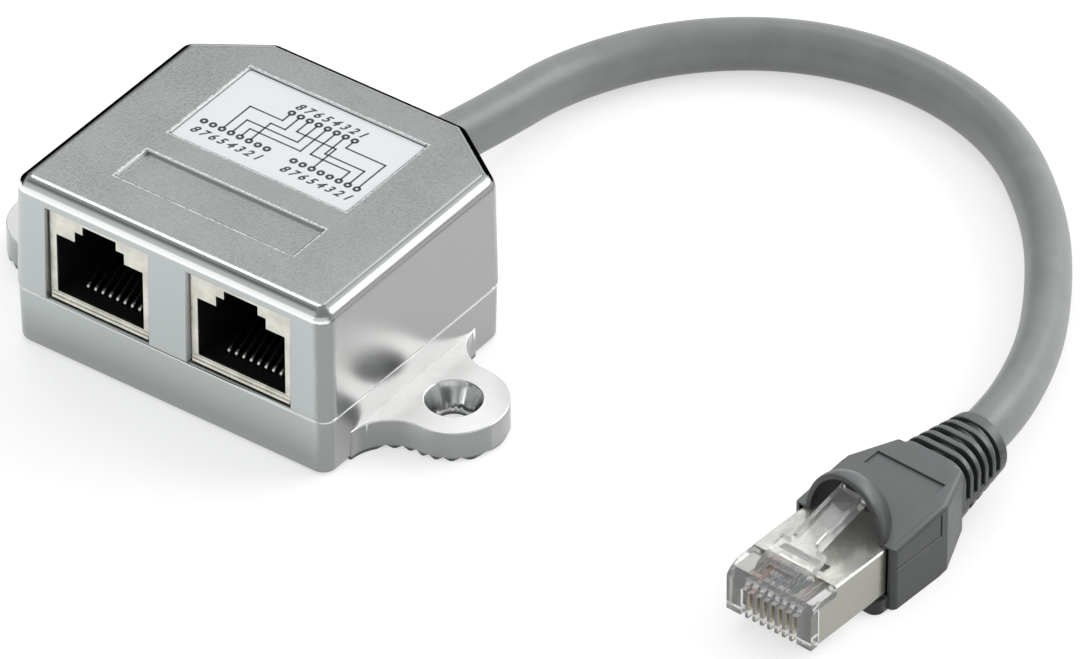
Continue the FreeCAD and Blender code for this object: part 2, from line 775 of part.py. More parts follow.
def boot_block():
    """Plan and side outlines, crossed."""
    half = boot_half
    plan = [V(-half, boot_front, -5), V(half, boot_front, -5), V(half, shoulder, -5), V(neck_half, neck, -5)]
    plan += [V(-neck_half, neck, -5), V(-half, shoulder, -5)]
    side = [(boot_front, -plug_lift), (heel, -plug_lift), (neck, neck_base), (neck, boot_top)]
    side += [(heel, boot_top), (boot_front, boot_low)]
    solid = prism(plan, V(0, 0, 20)).common(side_prism(side, 20))
    upright = [e for e in solid.Edges if is_upright(e) and e.Vertexes[0].Y < neck - 1]
    rims = [e for e in solid.Edges if all(v.Z > boot_low - 1 for v in e.Vertexes) and is_rim(e)]
    return solid.makeFillet(boot_round, upright + rims)


def is_rim(edge):
    """Along the outside of the top, not across it."""
    a, b = edge.Vertexes[0].Point, edge.Vertexes[-1].Point
    across = abs(a.y - b.y) < 0.01
    return not across and abs(a.z - b.z) < 1 and min(abs(a.x), abs(b.x)) > neck_half - 1


def hood(inset, front, back):
    """A dome over the latch: full arches in front, smaller and lower towards its back."""
    shares = [0, 0.18, 0.36, 0.58, 0.79, 1.0]
    halves = [1.0, 0.98, 0.87, 0.70, 0.47, 0.19]
    drops = [0, 0.0, 0.11, 0.38, 0.67, 1.0]
    wires = []
    for share, half, drop in zip(shares, halves, drops):
        crest = hood_crest - inset - drop * (hood_crest - boot_top + 0.1)
        wires.append(arch(hood_half * half - inset, boot_low - 1, crest, front + share * (back - front)))
    return Part.makeLoft(wires, True, False)


def boot():
    x = plug_wide / 2 + 0.4
    lip = rounded_block(-x, x, lip_front, boot_front + 3, -plug_lift, -0.15, 1.2)
    solid = boot_block().fuse([hood(0, boot_front, hood_back), lip, relief(0)])

    fit = plug_wide / 2 + fit_gap
    panel = panel_wide / 2
    cuts = [
        block(-fit, fit, lip_front - 1, plug_long + 0.1, -fit_gap, plug_high + fit_gap),
        hood(hood_wall, boot_front - 0.01, hood_back - 1.0).common(block(-reach, reach, 0, hollow_back, 0, reach)),
        block(-panel, panel, panel_from, panel_from + panel_long, boot_top - panel_sink, 20),
        bore(),
    ]
    return solid.cut(cuts + relief_cuts() + seams())


def seams():
    """A groove along each side that turns up at its rear end."""
    cuts = []
    for side in (-1, 1):
        x0, x1 = sorted((side * (boot_half - seam_deep), side * (boot_half + 1)))
        cuts.append(block(x0, x1, boot_front, seam_to, seam_high, seam_high + seam_wide))
        cuts.append(block(x0, x1, seam_to - seam_wide, seam_to, seam_high, boot_low - 0.1))
    return cuts


def bore():
    """Room for the crimped strap, then a close fit on the jacket that widens to the end."""
    wide, high = cable_wide / 2, cable_high / 2
    strap = oval_rod(wide + 0.45, high + 0.4, exit_high, plug_long, plug_long + 4.6)
    strap = strap.common(block(-reach, reach, 0, boot_end, -reach, exit_high + 1.3))
    tight = [
        oval(wide + 0.08, high + 0.08, 0, plug_long, exit_high),
        oval(wide + 0.08, high + 0.08, 0, neck, exit_high),
    ]
    flare = [tight[1], oval(wide + flare_gap, high + 0.3, 0, boot_end + 0.1, exit_high)]
    return strap.fuse([Part.makeLoft(tight, True, True), Part.makeLoft(flare, True, True)])


os.makedirs("parts", exist_ok=True)


def write(name, shape):
    solids = shape.Solids
    assert shape.isValid() and solids, name
    made = solids[0] if len(solids) == 1 else Part.makeCompound(solids)
    made.exportStep("parts/" + name + ".step")
    print(name, len(solids), "solid, volume", round(shape.Volume, 1))


def placed(shape):
    made = shape.copy()
    made.Placement = plug_place.multiply(made.Placement)
    return made


write("top_cover", top_cover())
write("base_shell", base_shell())
write("label", label())
write("circuit_board", circuit_board())
for name, jack_x in (("left", -jack_at), ("right", jack_at)):
    write("jack_" + name + "_shield", jack_shield(jack_x))
    write("jack_" + name + "_housing", jack_housing(jack_x))
    for number, (wire_x, pin_y) in enumerate(contact_places(jack_x), 1):
        write("jack_%s_contact_%d" % (name, number), jack_contact(wire_x, pin_y))
write("case_screws", case_screws())
write("cable_clamp", cable_clamp())
write("clamp_screws", clamp_screws())
write("cable", cable())
for number in range(core_count):
    write("board_core_%d" % (number + 1), board_core(number))
    write("plug_core_%d" % (number + 1), placed(plug_core(number)))
for number, blade_x in enumerate(blade_places(), 1):
    write("plug_contact_%d" % number, placed(plug_contact(blade_x)))
write("plug_body", placed(plug_body()))
write("plug_shield", placed(plug_shield()))
write("plug_load_bar", placed(load_bar()))
write("boot", placed(boot()))
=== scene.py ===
import math

import bmesh
import bpy
from mathutils import Matrix, Vector


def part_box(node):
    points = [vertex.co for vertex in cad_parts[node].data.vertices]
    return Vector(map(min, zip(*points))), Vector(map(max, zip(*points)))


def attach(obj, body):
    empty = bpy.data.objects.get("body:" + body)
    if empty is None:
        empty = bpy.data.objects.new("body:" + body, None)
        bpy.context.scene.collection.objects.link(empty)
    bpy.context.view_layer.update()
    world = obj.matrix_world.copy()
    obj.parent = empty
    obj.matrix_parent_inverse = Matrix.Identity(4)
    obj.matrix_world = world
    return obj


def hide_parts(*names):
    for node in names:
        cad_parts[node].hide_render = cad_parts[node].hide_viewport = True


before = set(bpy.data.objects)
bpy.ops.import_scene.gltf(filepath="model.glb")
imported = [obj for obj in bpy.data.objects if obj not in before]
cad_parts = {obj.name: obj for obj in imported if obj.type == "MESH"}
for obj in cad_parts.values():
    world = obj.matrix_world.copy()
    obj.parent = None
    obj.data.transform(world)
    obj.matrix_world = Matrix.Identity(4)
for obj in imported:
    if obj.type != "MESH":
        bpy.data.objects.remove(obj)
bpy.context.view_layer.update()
scene = bpy.context.scene
scene.view_settings.view_transform = "Standard"

# Camera
# A long lens from the front right, well above the case, so that its upright edges stay nearly
# parallel. Its place and its length were fitted to the corners of the case, the openings and the ears.
photo_wide = 1080
lens_pixels = 13640
lens_right = Vector((0.80654, 0.59117, -0.00116))
lens_up = Vector((-0.36187, 0.49526, 0.78979))
lens_back = Vector((0.46748, -0.63658, 0.61338))
eye = Vector((0.72844, -0.94209, 0.92368))
camera = bpy.data.objects.new("camera", bpy.data.cameras.new("camera"))
camera.data.sensor_width = 36
camera.data.lens = lens_pixels / photo_wide * camera.data.sensor_width
camera.data.clip_start = 0.1
camera.data.clip_end = 10
lens_turn = Matrix((lens_right, lens_up, lens_back)).transposed()
camera.matrix_world = Matrix.Translation(eye) @ lens_turn.to_4x4()
scene.collection.objects.link(camera)
scene.camera = camera


# Lead
# A grey vinyl jacket, extruded over four twisted pairs and pressed slightly oval by its bend. It is
# clamped inside the case, and runs round on the table into the boot of the plug.
class Signal:
    """One shader socket. Arithmetic on it adds Math nodes, and node() adds any other kind."""

    def __init__(self, tree, socket):
        self.tree = tree
        self.socket = socket

    def node(self, kind, settings=None, out=0, **inputs):
        made = self.tree.nodes.new("ShaderNode" + kind)
        for name, value in (settings or {}).items():
            setattr(made, name, value)
        for name, value in inputs.items():
            key = int(name[1:]) if name[1:].isdigit() else name.replace("_", " ")
            target = made.inputs[key]
            if isinstance(value, Signal):
                self.tree.links.new(value.socket, target)
            else:
                target.default_value = value
        return Signal(self.tree, made.outputs[out])

    def math(self, operation, *values):
        sockets = {"i%d" % i: value for i, value in enumerate((self, *values))}
        return self.node("Math", {"operation": operation}, **sockets)

    def __add__(self, other):
        return self.math("ADD", other)

    def __mul__(self, other):
        return self.math("MULTIPLY", other)

    def __sub__(self, other):
        return self.math("SUBTRACT", other)

    def __pow__(self, other):
        return self.math("POWER", other)

    def __rsub__(self, other):
        return self.node("Math", {"operation": "SUBTRACT"}, i0=other, i1=self)

    __radd__ = __add__
    __rmul__ = __mul__

    def step(self, low, high):
        """0 below low, 1 above high, smooth between."""
        smooth = {"interpolation_type": "SMOOTHSTEP"}
        return self.node("MapRange", smooth, Value=self, From_Min=low, From_Max=high)

    def blend(self, first, second):
        """Colours, mixed by this value."""
        return self.node("Mix", {"data_type": "RGBA"}, out=2, Factor=self, i6=first, i7=second)

    def under(self, amount, colour):
        """This colour, with so much of another laid over it."""
        return self.node("Mix", {"data_type": "RGBA"}, out=2, Factor=amount, i6=self, i7=colour)

    def part(self, axis):
        """X, Y or Z of a vector."""
        return self.node("SeparateXYZ", out="XYZ".index(axis), Vector=self)

    def grain(self, scale, detail):
        """Noise over this vector."""
        return self.node("TexNoise", Vector=self, Scale=scale, Detail=detail)


class Finish:
    """A material on one Principled shader, with constants on its sockets. feed() links what varies."""

    def __init__(self, name, colour, **constants):
        self.material = bpy.data.materials.new(name)
        self.material.use_nodes = True
        self.tree = self.material.node_tree
        self.shader = self.tree.nodes["Principled BSDF"]
        self.shader.inputs["Base Color"].default_value = (*colour, 1)
        for socket, value in constants.items():
            self.shader.inputs[socket.replace("_", " ")].default_value = value
        start = Signal(self.tree, None)
        self.place = start.node("TexCoord", out="Object")
        self.facing = start.node("NewGeometry", out="Normal")

    def feed(self, **links):
        for socket, signal in links.items():
            self.tree.links.new(signal.socket, self.shader.inputs[socket.replace("_", " ")])

    def bump(self, height, depth):
        """A bump from a height of 0 to 1, of this depth in metres."""
        self.feed(Normal=height.node("Bump", Height=height, Distance=depth, Strength=1.0))


def add_mesh(name, points, faces, smooth=True):
    mesh = bpy.data.meshes.new(name)
    mesh.from_pydata(points, [], faces)
    if smooth:
        mesh.shade_smooth()
    else:
        mesh.shade_flat()
    made = bpy.data.objects.new(name, mesh)
    scene.collection.objects.link(made)
    return made


def dress(piece, finish, slot, *nodes):
    """The piece rides on the case, takes this finish, if any, and stands for these solids."""
    if finish:
        piece.data.materials.clear()
        piece.data.materials.append(finish.material)
    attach(piece, "root")
    if nodes:
        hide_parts(*nodes)


MM = 0.001
jacket_wide = 5.3
jacket_high = 6.5
lead_route = [
    (0, 8.5, 7.6),
    (0, 23.0, 7.6),
    (1.8, 37.8, 5.9),
    (2.3, 52.0, 4.0),
    (8.7, 64.9, 3.3),
    (20.2, 73.5, 3.3),
    (34.4, 76.2, 3.3),
    (48.5, 72.5, 3.3),
    (60.4, 62.6, 3.3),
    (68.1, 52.3, 3.3),
    (74.9, 39.9, 4.1),
]
plug_nose = Vector((76.65, -13.25, 1.9)) * MM
plug_turn = math.radians(-3.8)
plug_place = Matrix.Translation(plug_nose) @ Matrix.Rotation(plug_turn, 4, "Z")
lead_points = [Vector(p) * MM for p in lead_route]
boot_exit, jacket_end, exit_high = 37.4, 21.5, 3.5
lead_points += [plug_place @ (Vector((0, y, exit_high)) * MM) for y in (boot_exit, jacket_end)]

spline_curve = bpy.data.curves.new("lead_line", "CURVE")
spline_curve.dimensions = "3D"
spline_curve.resolution_u = 14
spline = spline_curve.splines.new("NURBS")
spline.points.add(len(lead_points) - 1)
for control, point in zip(spline.points, lead_points):
    control.co = (*point, 1)
spline.order_u = 3
spline.use_endpoint_u = True
line_object = bpy.data.objects.new("lead_line", spline_curve)
line_mesh = bpy.data.meshes.new_from_object(line_object)
lead_line = [v.co.copy() for v in line_mesh.vertices]
bpy.data.objects.remove(line_object)
bpy.data.meshes.remove(line_mesh)


def tube(name, line, half_wide, half_high, sides=48):
    """A mesh tube whose section keeps its top side up along a line of points."""
    points, faces = [], []
    for i, centre in enumerate(line):
        ahead = (line[min(i + 1, len(line) - 1)] - line[max(i - 1, 0)]).normalized()
        across = ahead.cross(Vector((0, 0, 1))).normalized()
        up = across.cross(ahead)
        for k in range(sides):
            turn = 2 * math.pi * k / sides
            points.append(centre + across * half_wide * math.cos(turn) + up * half_high * math.sin(turn))
    for i in range(len(line) - 1):
        for k in range(sides):
            a, b = i * sides + k, i * sides + (k + 1) % sides
            faces.append((a, b, b + sides, a + sides))
    faces.append(tuple(range(sides))[::-1])
    faces.append(tuple(range(len(points) - sides, len(points))))
    return add_mesh(name, points, faces)


jacket = Finish("jacket_vinyl", (0.25, 0.262, 0.256), Specular_IOR_Level=0.6)
cloudy = jacket.place.grain(260, 4)
fine = jacket.place.grain(5200, 3)
jacket.feed(
    Base_Color=cloudy.step(0.3, 0.7).blend((0.225, 0.236, 0.231, 1), (0.255, 0.266, 0.261, 1)),
    Roughness=fine * 0.14 + cloudy * 0.08 + 0.26,
)
jacket.bump(fine + cloudy * 3, 0.03 * MM)
lead = tube("lead_jacket", lead_line, jacket_wide / 2 * MM, jacket_high / 2 * MM)
dress(lead, jacket, "jacket", "cable")
plug_nodes = ["plug_body", "plug_shield", "plug_load_bar"]
for number in range(1, 9):
    plug_nodes += ["plug_contact_%d" % number, "plug_core_%d" % number]


# Case
# Two mouldings of tough plastic, coated with a thin satin layer of bright metal. The base carries
# both fixing ears, and the cover sits over its lip and is held by two screws from below.
def even_normals(mesh, spread=47):
    """Normals that stay flat on the large faces and turn smoothly over the small ones between them."""
    limit = math.cos(math.radians(spread))
    hardly_turned = 0.9998
    around = [[] for _ in mesh.vertices]
    for face in mesh.polygons:
        for corner in face.vertices:
            around[corner].append((face.normal.copy(), face.area))
    normals = []
    for face in mesh.polygons:
        own = []
        for corner in face.vertices:
            near = [normal * area for normal, area in around[corner] if normal.dot(face.normal) > limit]
            own.append(sum(near, Vector()).normalized())
        face.use_smooth = min(normal.dot(face.normal) for normal in own) < hardly_turned
        normals += own
    mesh.normals_split_custom_set(normals)


edge_width = 0.12 * MM
weld_reach = 0.002 * MM
flat_within = math.radians(0.6)
sharp_from = math.radians(32)


def rounded_copy(node, name, finish, edge):
    """A welded copy of a solid. Its sharp outer edges are rounded, in their own finish."""
    made = bpy.data.objects.new(name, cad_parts[node].data.copy())
    scene.collection.objects.link(made)
    work = bmesh.new()
    work.from_mesh(made.data)
    bmesh.ops.remove_doubles(work, verts=work.verts, dist=weld_reach)
    bmesh.ops.dissolve_limit(work, angle_limit=flat_within, verts=work.verts, edges=work.edges)
    corners = [e for e in work.edges if e.is_convex and e.calc_face_angle(0) > sharp_from]
    bmesh.ops.bevel(work, geom=corners, offset=edge_width, offset_type="OFFSET", segments=2,
                    profile=0.5, affect="EDGES", clamp_overlap=False, material=1,
                    miter_outer="ARC", miter_inner="ARC")
    work.to_mesh(made.data)
    work.free()
    made.data.materials.clear()
    made.data.materials.append(finish.material)
    made.data.materials.append(edge.material)
    made.data.shade_smooth()
    even_normals(made.data)
    return made


def metal_coat(name):
    """A bright metal coat, finely textured where it is level. Painted light on it: paler front faces,
    painted shade on the right side, the front right corner, low on the front and along the bottom edge,
    and painted highlights on its rounded rims.
    """
    coat = Finish(name, (0.44, 0.455, 0.455), Metallic=1.0)
    across, along, up = (coat.facing.part(axis) for axis in "XYZ")
    height = coat.place.part("Z")
    level = up.step(0.985, 0.999)
    front = (0 - along).step(0.6, 0.95)
    side = across.step(0.6, 0.95)
    corner = across.step(0.0, 0.45) * (0 - along).step(0.1, 0.35)
    rounded = up.step(0.10, 0.20) * (1 - up.step(0.46, 0.58))
    front_rim = rounded * (0 - along).step(0.3, 0.6)
    side_rim = rounded * across.step(0.3, 0.6)
    on_cover = height.step(14 * MM, 15 * MM)
    near_floor = 1 - height.step(-3 * MM, 9 * MM)
    foot_shade = 1 - height.step(0.3 * MM, 0.6 * MM)
    speck = coat.place.grain(4200, 3).step(0.32, 0.68)
    spark = coat.place.grain(9000, 1).step(0.62, 0.76)
    cloud = coat.place.grain(90, 3).step(0.3, 0.7)
    rim_highlight = (0.90, 0.905, 0.89, 1)
    tone = (speck * level * 0.6 + cloud * 0.3).blend((0.36, 0.376, 0.372, 1), (0.437, 0.452, 0.444, 1))
    tone = tone.under(spark * level * 0.3, (1, 1, 1, 1))
    # Painted light: front faces paler and bluer; painted shade low on the front, on the right side and
    # at the front right corner.
    tone = tone.under(front, (0.50, 0.531, 0.527, 1))
    tone = tone.under(front * near_floor * 1.6, (0.33, 0.352, 0.347, 1))
    tone = tone.under(side, (0.365, 0.37, 0.362, 1))
    tone = tone.under(corner, (0.28, 0.295, 0.29, 1))
    # Painted highlights on the rounded rims: the front ones, fainter on the base, and the right ones of
    # the base.
    tone = tone.under(front_rim * (on_cover * 0.7 + 0.3), rim_highlight)
    tone = tone.under(side_rim * (1 - on_cover), rim_highlight)
    # Painted shade along the bottom edge.
    tone = tone.under(foot_shade, (0.09, 0.095, 0.095, 1))
    roughness = level * 0.17 + speck * level * 0.08 + cloud * 0.04 + side * 0.1 + 0.13
    coat.feed(Base_Color=tone, Roughness=roughness)
    coat.bump(speck * level + cloud * 0.3, 0.006 * MM)
    return coat, tone, level


recess_at_x = -0.15 * MM


def recess_line(place, at_y, wide, deep):
    """1 on the thin line round a recess of the roof, where a highlight is painted."""
    past_x = (place.part("X") - recess_at_x).math("ABSOLUTE") - wide / 2
    past_y = (place.part("Y") - at_y).math("ABSOLUTE") - deep / 2
    past = past_x.math("MAXIMUM", past_y)
    return past.step(0.05 * MM, 0.1 * MM) * (1 - past.step(0.26 * MM, 0.34 * MM))


cover_coat, tone, level = metal_coat("cover_coat")
label_highlight = recess_line(cover_coat.place, at_y=5.27 * MM, wide=24.3 * MM, deep=14.8 * MM)
blank_highlight = recess_line(cover_coat.place, at_y=-8.93 * MM, wide=24.4 * MM, deep=5.7 * MM)
highlight_patches = cover_coat.place.grain(2200, 3).step(0.3, 0.6)

# The walls of the openings that face right catch the light, so they are paler.
inner_reach = 16.5 * MM
from_middle = cover_coat.place.part("X").math("ABSOLUTE")
inner = cover_coat.facing.part("X").step(0.6, 0.95)
inner = inner * (1 - from_middle.step(inner_reach, inner_reach + 0.5 * MM))
# A pale painted highlight, in patches, on the level lines round both recesses.
tone = tone.under((label_highlight + blank_highlight) * level * highlight_patches, (0.80, 0.80, 0.79, 1))
cover_coat.feed(Base_Color=tone.under(inner, (0.62, 0.63, 0.62, 1)), Metallic=1 - inner * 0.85)

# The ears get a pale painted light on top.
base_coat, tone = metal_coat("base_coat")[:2]
ear_cloud = base_coat.place.grain(700, 3)
ear_from = 17.7 * MM
from_middle = base_coat.place.part("X").math("ABSOLUTE")
ear_top_light = base_coat.facing.part("Z").step(0.35, 0.7) * from_middle.step(ear_from, ear_from + 0.4 * MM)
ear_light_tone = ear_cloud.blend((0.74, 0.735, 0.73, 1), (0.83, 0.825, 0.82, 1))
base_coat.feed(Base_Color=tone.under(ear_top_light, ear_light_tone))

# Every sharp edge gets a pale painted highlight, broken by grain and whiter where it faces right, with
# dark painted shade along the bottom edge.
edge_highlight = Finish("painted_edge_highlight", (0.80, 0.80, 0.79), Metallic=0.35)
edge_highlight_grain = edge_highlight.place.grain(2200, 3).step(0.40, 0.62)
right_highlight = edge_highlight.facing.part("X").step(0.2, 0.6)
edge_foot_shade = 1 - edge_highlight.place.part("Z").step(0.2 * MM, 0.5 * MM)
edge_highlight_tone = edge_highlight_grain.blend((0.30, 0.31, 0.31, 1), (0.75, 0.76, 0.76, 1))
edge_highlight_tone = edge_highlight_tone.under(right_highlight, (0.95, 0.95, 0.94, 1))
edge_highlight.feed(
    Base_Color=edge_highlight_tone.under(edge_foot_shade, (0.05, 0.052, 0.052, 1)),
    Roughness=edge_highlight_grain * 0.15 + 0.14,
)
case_base = rounded_copy("base_shell", "case_base", base_coat, edge_highlight)
case_cover = rounded_copy("top_cover", "case_cover", cover_coat, edge_highlight)

# The rounded rims at the back and on the left get a near-black metal: a painted dark reflection.
rim = Finish("rear_rim_painted_dark", (0.03, 0.032, 0.032), Metallic=1.0, Specular_Tint=(0, 0, 0, 1))
rim.feed(Roughness=rim.place.grain(400, 3) * 0.1 + 0.16)
case_cover.data.materials.append(rim.material)
rim_from = 19.5 * MM
coat_index, rim_index = 0, 2
for face in case_cover.data.polygons:
    normal = face.normal
    on_rim = 0.55 < normal.z < 0.955 and face.center.z > rim_from
    if on_rim and max(normal.y, -normal.x) > 0.3 and face.material_index == coat_index:
        face.material_index = rim_index
dress(case_base, None, "case", "base_shell")
dress(case_cover, None, "case", "top_cover")


# Circuit board and its parts
# A green coated laminate joins both jacks to the lead. The cores of the lead are soldered to its
# rear edge, and a black bar with two screws clamps the jacket in its cradle.
def paint(finish, *nodes):
    """Puts a finish on solids whose own mesh is shown."""
    for node in nodes:
        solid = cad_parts[node]
        solid.data.materials.clear()
        solid.data.materials.append(finish.material)
        solid.data.shade_smooth()
        solid.data.set_sharp_from_angle(angle=sharp_from)


laminate = Finish("green_laminate", (0.02, 0.12, 0.05), Roughness=0.35)
weave = laminate.place.grain(1800, 2)
laminate.feed(Base_Color=weave.blend((0.015, 0.10, 0.04, 1), (0.03, 0.16, 0.07, 1)))
paint(laminate, "circuit_board")

black_bar = Finish("black_moulding", (0.012, 0.012, 0.012))
bar_grain = black_bar.place.grain(4000, 2)
black_bar.feed(Roughness=bar_grain * 0.2 + 0.35)
paint(black_bar, "cable_clamp")

zinc = Finish("zinc_plate", (0.6, 0.6, 0.58), Metallic=1.0)
zinc_cloud = zinc.place.grain(1400, 3)
zinc.feed(Roughness=zinc_cloud * 0.25 + 0.18)
paint(zinc, "case_screws", "clamp_screws")

core_colours = {
    "white_orange": (0.80, 0.52, 0.34),
    "orange": (0.75, 0.20, 0.03),
    "white_green": (0.52, 0.60, 0.52),
    "blue": (0.08, 0.13, 0.32),
    "white_blue": (0.52, 0.57, 0.64),
    "green": (0.07, 0.22, 0.10),
    "white_brown": (0.62, 0.48, 0.38),
    "brown": (0.14, 0.06, 0.03),
}
for number, (core, colour) in enumerate(core_colours.items(), 1):
    skin = Finish("core_" + core, colour, Roughness=0.4)
    shade = skin.place.grain(900, 2)
    dark = tuple(0.75 * c for c in colour)
    skin.feed(Base_Color=shade.blend((*dark, 1), (*colour, 1)))
    paint(skin, "board_core_%d" % number, "plug_core_%d" % number)


# Jacks
# Each has a folded can of tinned sheet round a black moulding with a comb, and eight sprung wires
# that rise through the comb towards the back. The cans are soldered to the board by two legs.
tin = Finish("tinned_sheet", (0.78, 0.77, 0.70), Metallic=1.0)
tin_cloud = tin.place.grain(500, 4)
tin_fine = tin.place.grain(6000, 2)
tin.feed(
    Base_Color=tin_cloud.step(0.3, 0.7).blend((0.62, 0.61, 0.54, 1), (0.80, 0.79, 0.72, 1)),
    Roughness=tin_cloud * 0.2 + tin_fine * 0.12 + 0.16,
)
tin.bump(tin_cloud * 2 + tin_fine * 0.5, 0.04 * MM)
insert = Finish("black_insert", (0.008, 0.008, 0.008))
insert_grain = insert.place.grain(3000, 2)
insert.feed(Roughness=insert_grain * 0.2 + 0.32)
wire_metal = Finish("sprung_wire", (0.3, 0.29, 0.26), Metallic=1.0)
# The wires are painted near-black behind their front bends: painted shade inside the jack.
bend = 1 - wire_metal.place.part("Y").step(-15.65 * MM, -15.3 * MM)
wire_metal.feed(
    Base_Color=bend.blend((0.06, 0.06, 0.055, 1), (0.62, 0.60, 0.55, 1)),
    Roughness=wire_metal.place.grain(2500, 2) * 0.2 + 0.22,
)
for side in ("left", "right"):
    paint(tin, "jack_%s_shield" % side)
    paint(insert, "jack_%s_housing" % side)
    paint(wire_metal, *["jack_%s_contact_%d" % (side, number) for number in range(1, 9)])


# Label
# A thin white film, printed in black with a plan of which pins join: three rows of rings with their
# numbers, and lines with square corners between them. It lies in the larger recess of the cover.
film = Finish("white_film", (0.84, 0.855, 0.87))
film_cloud = film.place.grain(700, 3)
film.feed(Roughness=film_cloud * 0.2 + 0.25)
film.bump(film_cloud, 0.02 * MM)
paint(film, "label")
ink = Finish("black_ink", (0.035, 0.045, 0.045), Roughness=0.5)
ink_cloud = ink.place.grain(2600, 3)
ink.feed(Base_Color=ink_cloud.step(0.35, 0.7).blend((0.02, 0.028, 0.028, 1), (0.07, 0.085, 0.085, 1)))
ink_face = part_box("label")[1][2] + 0.01 * MM
print_points, print_faces = [], []


def print_loop(outline, hole=None):
    """A flat shape of ink, or a closed band between two outlines with as many points."""
    start = len(print_points)
    print_points.extend((x * MM, y * MM, ink_face) for x, y in outline + (hole or []))
    count = len(outline)
    if hole is None:
        print_faces.append(tuple(range(start, start + count)))
        return
    for k in range(count):
        a, b = start + k, start + (k + 1) % count
        print_faces.append((a, b, b + count, a + count))


def ring(x, y, outer=0.49, inner=0.16, sides=20):
    turns = [2 * math.pi * k / sides for k in range(sides)]
    print_loop(*[[(x + r * math.cos(t), y + r * math.sin(t)) for t in turns] for r in (outer, inner)])


def print_run(points, half=0.108):
    """A thin line along X and Y, with square corners."""
    for (x0, y0), (x1, y1) in zip(points, points[1:]):
        a, b = min(x0, x1) - half, max(x0, x1) + half
        c, d = min(y0, y1) - half, max(y0, y1) + half
        print_loop([(a, c), (b, c), (b, d), (a, d)])


def print_digit(digit, x, y, high=1.18):
    """One numeral, slanted a little, on its middle."""
    size_over_high = 1.37
    text = bpy.data.curves.new("numeral", "FONT")
    text.body = str(digit)
    text.size = high * size_over_high * MM
    text.offset = 0.045 * MM
    text.shear = 0.35
    text.align_x = "CENTER"
    text.resolution_u = 3
    holder = bpy.data.objects.new("numeral", text)
    flat = bpy.data.meshes.new_from_object(holder)
    start = len(print_points)
    print_points.extend((v.co.x + x * MM, v.co.y + (y - high / 2) * MM, ink_face) for v in flat.vertices)
    print_faces.extend(tuple(start + k for k in face.vertices) for face in flat.polygons)
    bpy.data.objects.remove(holder)
    bpy.data.meshes.remove(flat)


# Of each row: its middle along X, then how far back its rings and its numbers lie, along Y.
pin_pitch = 1.235
rows = {"upper": (0.58, 8.9, 10.38), "left": (-6.35, 2.06, 0.36), "right": (5.98, 2.06, 0.36)}
pins = {}
for row, (middle, y, digit_y) in rows.items():
    for i in range(8):
        x = middle + (i - 3.5) * pin_pitch
        pins[row, 8 - i] = (x, y)
        ring(x, y)
        print_digit(8 - i, x, digit_y)

# Of each line: the lower row and its pin, the upper pin, and where it turns, along Y.
ring_reach = 0.38
joins = [
    ("left", 6, 8, 7.2),
    ("left", 5, 5, 5.0),
    ("left", 4, 4, 3.9),
    ("left", 3, 7, 6.05),
    ("right", 6, 6, 6.5),
    ("right", 3, 3, 4.1),
    ("right", 2, 2, 5.1),
    ("right", 1, 1, 7.3),
]
for row, lower, upper, turn_y in joins:
    (x0, y0), (x1, y1) = pins[row, lower], pins["upper", upper]
    print_run([(x0, y0 + ring_reach), (x0, turn_y), (x1, turn_y), (x1, y1 - ring_reach)])
diagram = add_mesh("label_print", print_points, print_faces, smooth=False)
dress(diagram, ink, "label_film")


# Plug
# A clear moulding holds eight gold blades under the cores, with its springy latch moulded on top.
# A folded can of tinned sheet wraps its back half and is crimped to the jacket.
clear = Finish("clear_moulding", (0.97, 0.97, 0.955), IOR=1.38, Transmission_Weight=0.84)
haze = clear.place.grain(1200, 3)
clear.feed(Roughness=haze * 0.10 + 0.02)
clear.bump(haze, 0.02 * MM)
paint(clear, "plug_body")
frosted = Finish("frosted_bar", (0.80, 0.78, 0.74), IOR=1.3, Transmission_Weight=0.5)
frost = frosted.place.grain(1500, 3)
frosted.feed(Roughness=frost * 0.25 + 0.3)
paint(frosted, "plug_load_bar")
plug_tin = Finish("plug_can_sheet", (0.80, 0.78, 0.70), Metallic=0.75)
plug_cloud = plug_tin.place.grain(420, 4)
# Painted light: faces that look up or down are pale, and the sides get a darker painted shade.
flat = plug_tin.facing.part("Z").math("ABSOLUTE").step(0.3, 0.9)
plug_tin.feed(
    Base_Color=flat.blend((0.38, 0.374, 0.33, 1), (0.93, 0.92, 0.86, 1)),
    Roughness=plug_cloud * 0.22 + 0.14,
)
plug_tin.bump(plug_cloud, 0.06 * MM)
paint(plug_tin, "plug_shield")
gold = Finish("gold_blade", (0.66, 0.60, 0.46), Metallic=1.0)
gold_cloud = gold.place.grain(2500, 2)
gold.feed(Roughness=gold_cloud * 0.2 + 0.12)
paint(gold, *["plug_contact_%d" % number for number in range(1, 9)])


# Boot
# One soft dark grey moulding, slid over the plug: a block with a hood above the latch, then a ribbed
# sleeve that lets the lead bend. Its grooves and its lip below the plug get painted shade; its top faces
# get painted light.
relief_from, relief_middle = 27.5 * MM, 3.6 * MM
relief_core, relief_skin = 2.75 * MM, 3.6 * MM
lip_end = 12.7 * MM
soft_grey = Finish("soft_grey_moulding", (0.09, 0.095, 0.095), Specular_IOR_Level=0.45)
matt = soft_grey.place.grain(5200, 3)
matt_cloud = soft_grey.place.grain(350, 3)
upper = soft_grey.facing.part("Z").step(0.2, 0.9)
east, north, high = (soft_grey.place.part(axis) - start for axis, start in zip("XYZ", plug_nose))
aside = east * math.cos(plug_turn) + north * math.sin(plug_turn)
behind_nose = north * math.cos(plug_turn) - east * math.sin(plug_turn)
off_middle = ((high - relief_middle) ** 2 + aside * aside) ** 0.5
grooves = 1 - off_middle.step(relief_core, relief_skin)
